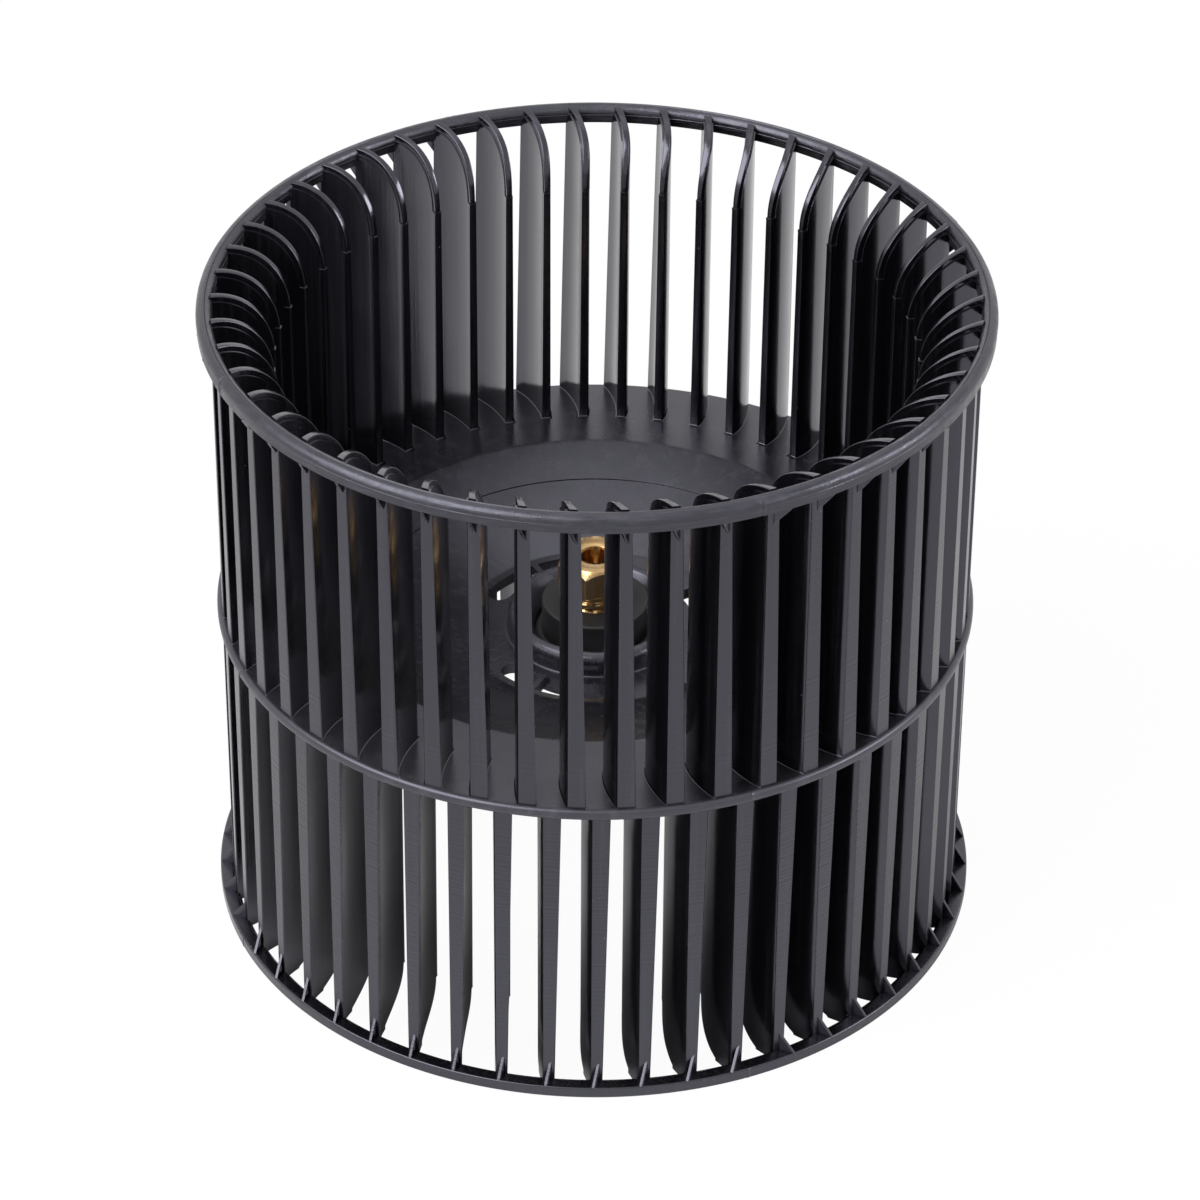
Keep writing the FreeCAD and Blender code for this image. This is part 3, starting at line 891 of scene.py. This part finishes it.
def new_material(name):
    """Empty material with one surface shader."""
    material = bpy.data.materials.new(name)
    material.use_nodes = True
    nodes = material.node_tree.nodes
    nodes.clear()
    shader = nodes.new("ShaderNodeBsdfPrincipled")
    output = nodes.new("ShaderNodeOutputMaterial")
    material.node_tree.links.new(shader.outputs["BSDF"], output.inputs["Surface"])
    return material, nodes, material.node_tree.links, shader


def math_node(nodes, links, operation, *values):
    """Output of one sum or function; each value is a number or another output."""
    node = nodes.new("ShaderNodeMath")
    node.operation = operation
    for socket, value in zip(node.inputs, values):
        if isinstance(value, (int, float)):
            socket.default_value = value
        else:
            links.new(value, socket)
    return node.outputs[0]


def ramp(nodes, links, value, low, high, low_to=0.0, high_to=1.0):
    """Soft step from one value to another as the input goes from low to high."""
    node = nodes.new("ShaderNodeMapRange")
    node.interpolation_type = "SMOOTHSTEP"
    links.new(value, node.inputs["Value"])
    node.inputs["From Min"].default_value = low
    node.inputs["From Max"].default_value = high
    node.inputs["To Min"].default_value = low_to
    node.inputs["To Max"].default_value = high_to
    return node.outputs["Result"]


def noise_node(nodes, links, vector, scale, detail, roughness=0.5):
    node = nodes.new("ShaderNodeTexNoise")
    node.inputs["Scale"].default_value = scale
    node.inputs["Detail"].default_value = detail
    node.inputs["Roughness"].default_value = roughness
    links.new(vector, node.inputs["Vector"])
    return node.outputs["Fac"]


def colour_mix(nodes, links, share, first, second):
    """Colour between two; the first may be a colour or another output."""
    node = nodes.new("ShaderNodeMix")
    node.data_type = "RGBA"
    links.new(share, node.inputs[0])
    if isinstance(first, tuple):
        node.inputs[6].default_value = (*first, 1)
    else:
        links.new(first, node.inputs[6])
    node.inputs[7].default_value = (*second, 1)
    return node.outputs[2]


def add_bump(nodes, links, shader, height, strength, distance_metres):
    bump = nodes.new("ShaderNodeBump")
    bump.inputs["Strength"].default_value = strength
    bump.inputs["Distance"].default_value = distance_metres
    links.new(height, bump.inputs["Height"])
    links.new(bump.outputs["Normal"], shader.inputs["Normal"])


def round_axis(nodes, links, place):
    """Way round the axis, radius and height of a point, in metres."""
    split = nodes.new("ShaderNodeSeparateXYZ")
    links.new(place, split.inputs[0])
    x, y, height = split.outputs["X"], split.outputs["Y"], split.outputs["Z"]
    around = math_node(nodes, links, "MULTIPLY", math_node(nodes, links, "ARCTAN2", y, x), BLADE_OUTER * MM)
    squares = [math_node(nodes, links, "POWER", side, 2.0) for side in (x, y)]
    radius = math_node(nodes, links, "SQRT", math_node(nodes, links, "ADD", *squares))
    return around, radius, height


def streak_noise(nodes, links, unrolled, scales):
    """Noise with a scale of its own round the axis, across it and along it."""
    stretched = nodes.new("ShaderNodeCombineXYZ")
    for value, scale, socket in zip(unrolled, scales, stretched.inputs):
        links.new(math_node(nodes, links, "MULTIPLY", value, scale), socket)
    return noise_node(nodes, links, stretched.outputs[0], 1.0, 4.0, 0.6)


def line_noise(nodes, links, height):
    """Noise over the height alone, for fine lines round the axis."""
    lines = nodes.new("ShaderNodeTexNoise")
    lines.noise_dimensions = "1D"
    lines.inputs["Scale"].default_value = 1500.0
    lines.inputs["Detail"].default_value = 1.0
    links.new(height, lines.inputs["W"])
    return lines.outputs["Fac"]


def dust_specks(nodes, links, place):
    """1 on single, rare specks, otherwise 0."""
    cells = nodes.new("ShaderNodeTexVoronoi")
    cells.inputs["Scale"].default_value = 420.0
    cells.inputs["Randomness"].default_value = 1.0
    links.new(place, cells.inputs["Vector"])
    speck = ramp(nodes, links, cells.outputs["Distance"], 0.07, 0.03)
    chance = nodes.new("ShaderNodeSeparateColor")
    links.new(cells.outputs["Color"], chance.inputs[0])
    return math_node(nodes, links, "MULTIPLY", speck, ramp(nodes, links, chance.outputs[0], 0.93, 0.95))


def plastic(name, smoothest, roughest, streak_scales, turned=1.0, dark=BLACK_DARK, light=BLACK_LIGHT):
    """Satin black moulding with turning lines on the outer faces, streaks, wear and dust.

    Where turned is under 1, scuffs and blotches take the place of the lines.
    """
    material, nodes, links, shader = new_material(name)
    scuffed = 1 - turned
    place = nodes.new("ShaderNodeTexCoord").outputs["Object"]
    cloud = noise_node(nodes, links, place, 60.0, 4.0)
    blotch = noise_node(nodes, links, place, 420.0, 5.0, 0.65)
    grain = noise_node(nodes, links, place, 2600.0, 2.0)
    unrolled = round_axis(nodes, links, place)
    streaks = streak_noise(nodes, links, unrolled, streak_scales)
    outer = ramp(nodes, links, unrolled[1], (BLADE_OUTER - 0.3) * MM, (BLADE_OUTER - 0.1) * MM)
    lines = math_node(nodes, links, "MULTIPLY", line_noise(nodes, links, unrolled[2]), outer)
    height = math_node(nodes, links, "MULTIPLY_ADD", lines, 3.6 * turned, grain)
    height = math_node(nodes, links, "MULTIPLY_ADD", streaks, 1.5 + 8.0 * scuffed, height)
    height = math_node(nodes, links, "MULTIPLY_ADD", blotch, 6.0 * scuffed, height)
    add_bump(nodes, links, shader, height, 0.3, 0.00004)
    speck = dust_specks(nodes, links, place)
    worn = ramp(nodes, links, streaks, 0.45, 0.75)
    worn = math_node(nodes, links, "MULTIPLY", worn, ramp(nodes, links, blotch, 0.35, 0.65, 0.4, 1.0))
    base = colour_mix(nodes, links, worn, dark, light)
    dusty = colour_mix(nodes, links, math_node(nodes, links, "MULTIPLY", speck, 0.55), base, DUST)
    links.new(dusty, shader.inputs["Base Color"])
    rough = ramp(nodes, links, cloud, 0.3, 0.7, smoothest, roughest)
    rough = math_node(nodes, links, "MULTIPLY_ADD", outer, 0.09 * turned, rough)
    rough = math_node(nodes, links, "MULTIPLY_ADD", worn, 0.06, rough)
    patches = ramp(nodes, links, blotch, 0.35, 0.65, -0.08 * scuffed, 0.08 * scuffed)
    rough = math_node(nodes, links, "ADD", rough, patches)
    links.new(math_node(nodes, links, "MULTIPLY_ADD", speck, 0.4, rough), shader.inputs["Roughness"])
    shader.inputs["IOR"].default_value = 1.72
    shader.inputs["Specular Tint"].default_value = (*PLASTIC_SHEEN, 1)
    return material


def rubber():
    """Dull black rubber with a fine grain."""
    material, nodes, links, shader = new_material("black_rubber")
    place = nodes.new("ShaderNodeTexCoord").outputs["Object"]
    cloud = noise_node(nodes, links, place, 180.0, 4.0)
    grain = noise_node(nodes, links, place, 3000.0, 2.0)
    base = colour_mix(nodes, links, ramp(nodes, links, cloud, 0.35, 0.65), RUBBER_DARK, RUBBER_LIGHT)
    links.new(base, shader.inputs["Base Color"])
    links.new(ramp(nodes, links, cloud, 0.3, 0.7, 0.55, 0.7), shader.inputs["Roughness"])
    add_bump(nodes, links, shader, grain, 0.3, 0.00005)
    return material


def brass():
    """Bright turned brass in two tones, with fine streaks."""
    material, nodes, links, shader = new_material("turned_brass")
    place = nodes.new("ShaderNodeTexCoord").outputs["Object"]
    cloud = noise_node(nodes, links, place, 350.0, 3.0)
    streaks = nodes.new("ShaderNodeMapping")
    streaks.inputs["Scale"].default_value = (2600, 2600, 160)
    links.new(place, streaks.inputs["Vector"])
    fine = noise_node(nodes, links, streaks.outputs[0], 1.0, 2.0)
    base = colour_mix(nodes, links, ramp(nodes, links, cloud, 0.35, 0.65), BRASS_BRIGHT, BRASS_DARK)
    links.new(base, shader.inputs["Base Color"])
    shader.inputs["Metallic"].default_value = 1.0
    links.new(ramp(nodes, links, fine, 0.3, 0.7, 0.14, 0.26), shader.inputs["Roughness"])
    add_bump(nodes, links, shader, fine, 0.2, 0.00002)
    return material


# Stage, light and camera

def seen_directly(nodes, links):
    """1 for rays of the camera, of reflections and of refractions, otherwise 0."""
    path = nodes.new("ShaderNodeLightPath")
    seen = math_node(nodes, links, "MAXIMUM", path.outputs["Is Camera Ray"], path.outputs["Is Glossy Ray"])
    return math_node(nodes, links, "MAXIMUM", seen, path.outputs["Is Transmission Ray"])


def floor_material():
    """Pale floor that the camera sees as nearly white, with the wheel's shadow kept."""
    material, nodes, links, shader = new_material("pale_floor")
    middle = nodes.new("ShaderNodeVectorMath")
    middle.operation = "LENGTH"
    links.new(nodes.new("ShaderNodeTexCoord").outputs["Object"], middle.inputs[0])
    clear = ramp(nodes, links, middle.outputs["Value"], SHADED_METRES, CLEAR_METRES)
    path = nodes.new("ShaderNodeLightPath")
    clear = math_node(nodes, links, "MAXIMUM", clear, path.outputs["Is Camera Ray"])
    white_share = math_node(nodes, links, "MULTIPLY", seen_directly(nodes, links), clear)
    shader.inputs["Base Color"].default_value = (*FLOOR_PALE, 1)
    shader.inputs["Roughness"].default_value = 0.9
    white = nodes.new("ShaderNodeEmission")
    white.inputs["Color"].default_value = (*WHITE, 1)
    white.inputs["Strength"].default_value = 1.0
    mix = nodes.new("ShaderNodeMixShader")
    links.new(math_node(nodes, links, "MULTIPLY", white_share, FLOOR_WHITE_SHARE), mix.inputs[0])
    links.new(shader.outputs["BSDF"], mix.inputs[1])
    links.new(white.outputs[0], mix.inputs[2])
    output = next(node for node in nodes if node.type == "OUTPUT_MATERIAL")
    links.new(mix.outputs[0], output.inputs["Surface"])
    return material


def floor():
    """Floor at the height of the wheel's lower face."""
    half = FLOOR_HALF_METRES
    bottom = -HALF_HEIGHT * MM
    mesh = bpy.data.meshes.new("floor")
    corners = [(-half, -half, bottom), (half, -half, bottom), (half, half, bottom), (-half, half, bottom)]
    mesh.from_pydata(corners, [], [(0, 1, 2, 3)])
    mesh.materials.append(floor_material())
    linked("floor", mesh)


def world():
    """White studio for the camera and for reflections, and a weaker light on matt surfaces."""
    made = bpy.data.worlds.new("studio")
    bpy.context.scene.world = made
    made.use_nodes = True
    nodes, links = made.node_tree.nodes, made.node_tree.links
    nodes.clear()
    light = nodes.new("ShaderNodeBackground")
    light.inputs["Strength"].default_value = STUDIO_LIGHT
    white = nodes.new("ShaderNodeBackground")
    for node in (light, white):
        node.inputs["Color"].default_value = (*WHITE, 1)
    mix = nodes.new("ShaderNodeMixShader")
    output = nodes.new("ShaderNodeOutputWorld")
    links.new(seen_directly(nodes, links), mix.inputs[0])
    links.new(light.outputs[0], mix.inputs[1])
    links.new(white.outputs[0], mix.inputs[2])
    links.new(mix.outputs[0], output.inputs["Surface"])


def softbox(name, place, size, watts):
    """Rectangular lamp, aimed at the wheel's centre."""
    data = bpy.data.lights.new(name, "AREA")
    data.shape = "RECTANGLE"
    data.size, data.size_y = size
    data.energy = watts
    lamp = linked(name, data)
    lamp.location = place
    lamp.rotation_mode = "QUATERNION"
    lamp.rotation_quaternion = (-Vector(place)).to_track_quat("-Z", "Y")


def camera():
    """Camera that sees the disc's centre where the photograph shows it, from the same distance."""
    pitch, roll = math.radians(CAMERA_PITCH), math.radians(CAMERA_ROLL)
    right = Vector((1, 0, 0))
    up = Vector((0, math.sin(pitch), math.cos(pitch)))
    forward = Vector((0, math.cos(pitch), -math.sin(pitch)))
    right, up = (
        right * math.cos(roll) - up * math.sin(roll),
        right * math.sin(roll) + up * math.cos(roll),
    )
    metres_per_pixel = CAMERA_DISTANCE_METRES / FOCAL_PIXELS
    aside = (DISC_CENTRE_PIXEL[0] - PHOTO_WIDTH / 2) * metres_per_pixel
    down = (DISC_CENTRE_PIXEL[1] - PHOTO_WIDTH / 2) * metres_per_pixel
    data = bpy.data.cameras.new("camera")
    data.sensor_width = SENSOR_WIDTH
    data.lens = FOCAL_PIXELS / PHOTO_WIDTH * SENSOR_WIDTH
    made = linked("camera", data)
    place = Vector((0, 0, DISC_MIDDLE * MM)) - forward * CAMERA_DISTANCE_METRES - right * aside + up * down
    axes = Matrix((right, up, -forward)).transposed()
    made.matrix_world = Matrix.Translation(place) @ axes.to_4x4()
    bpy.context.scene.camera = made


camera()
world()
floor()
for lamp in LAMPS:
    softbox(*lamp)

black = plastic("black_plastic", 0.13, 0.19, (900.0, 900.0, 14.0))
scuffed = plastic("scuffed_plastic", 0.24, 0.42, (160.0, 1400.0, 1400.0), 0.2, light=SCUFFED_LIGHT)
mottled = plastic(
    "mottled_plastic", 0.22, 0.32, (300.0, 300.0, 300.0), dark=MOTTLED_DARK, light=MOTTLED_LIGHT
)
blade_ring("upper_blades", BLADE_AZIMUTH, True, black)
blade_ring("lower_blades", BLADE_AZIMUTH + PITCH / 2, False, black)
upper_ring(scuffed)
lower_ring(black)
gussets(black)
disc(mottled)
hub_bush(rubber())
metal = brass()
collet(metal)
nut(metal)

bpy.context.scene.view_settings.view_transform = "Standard"
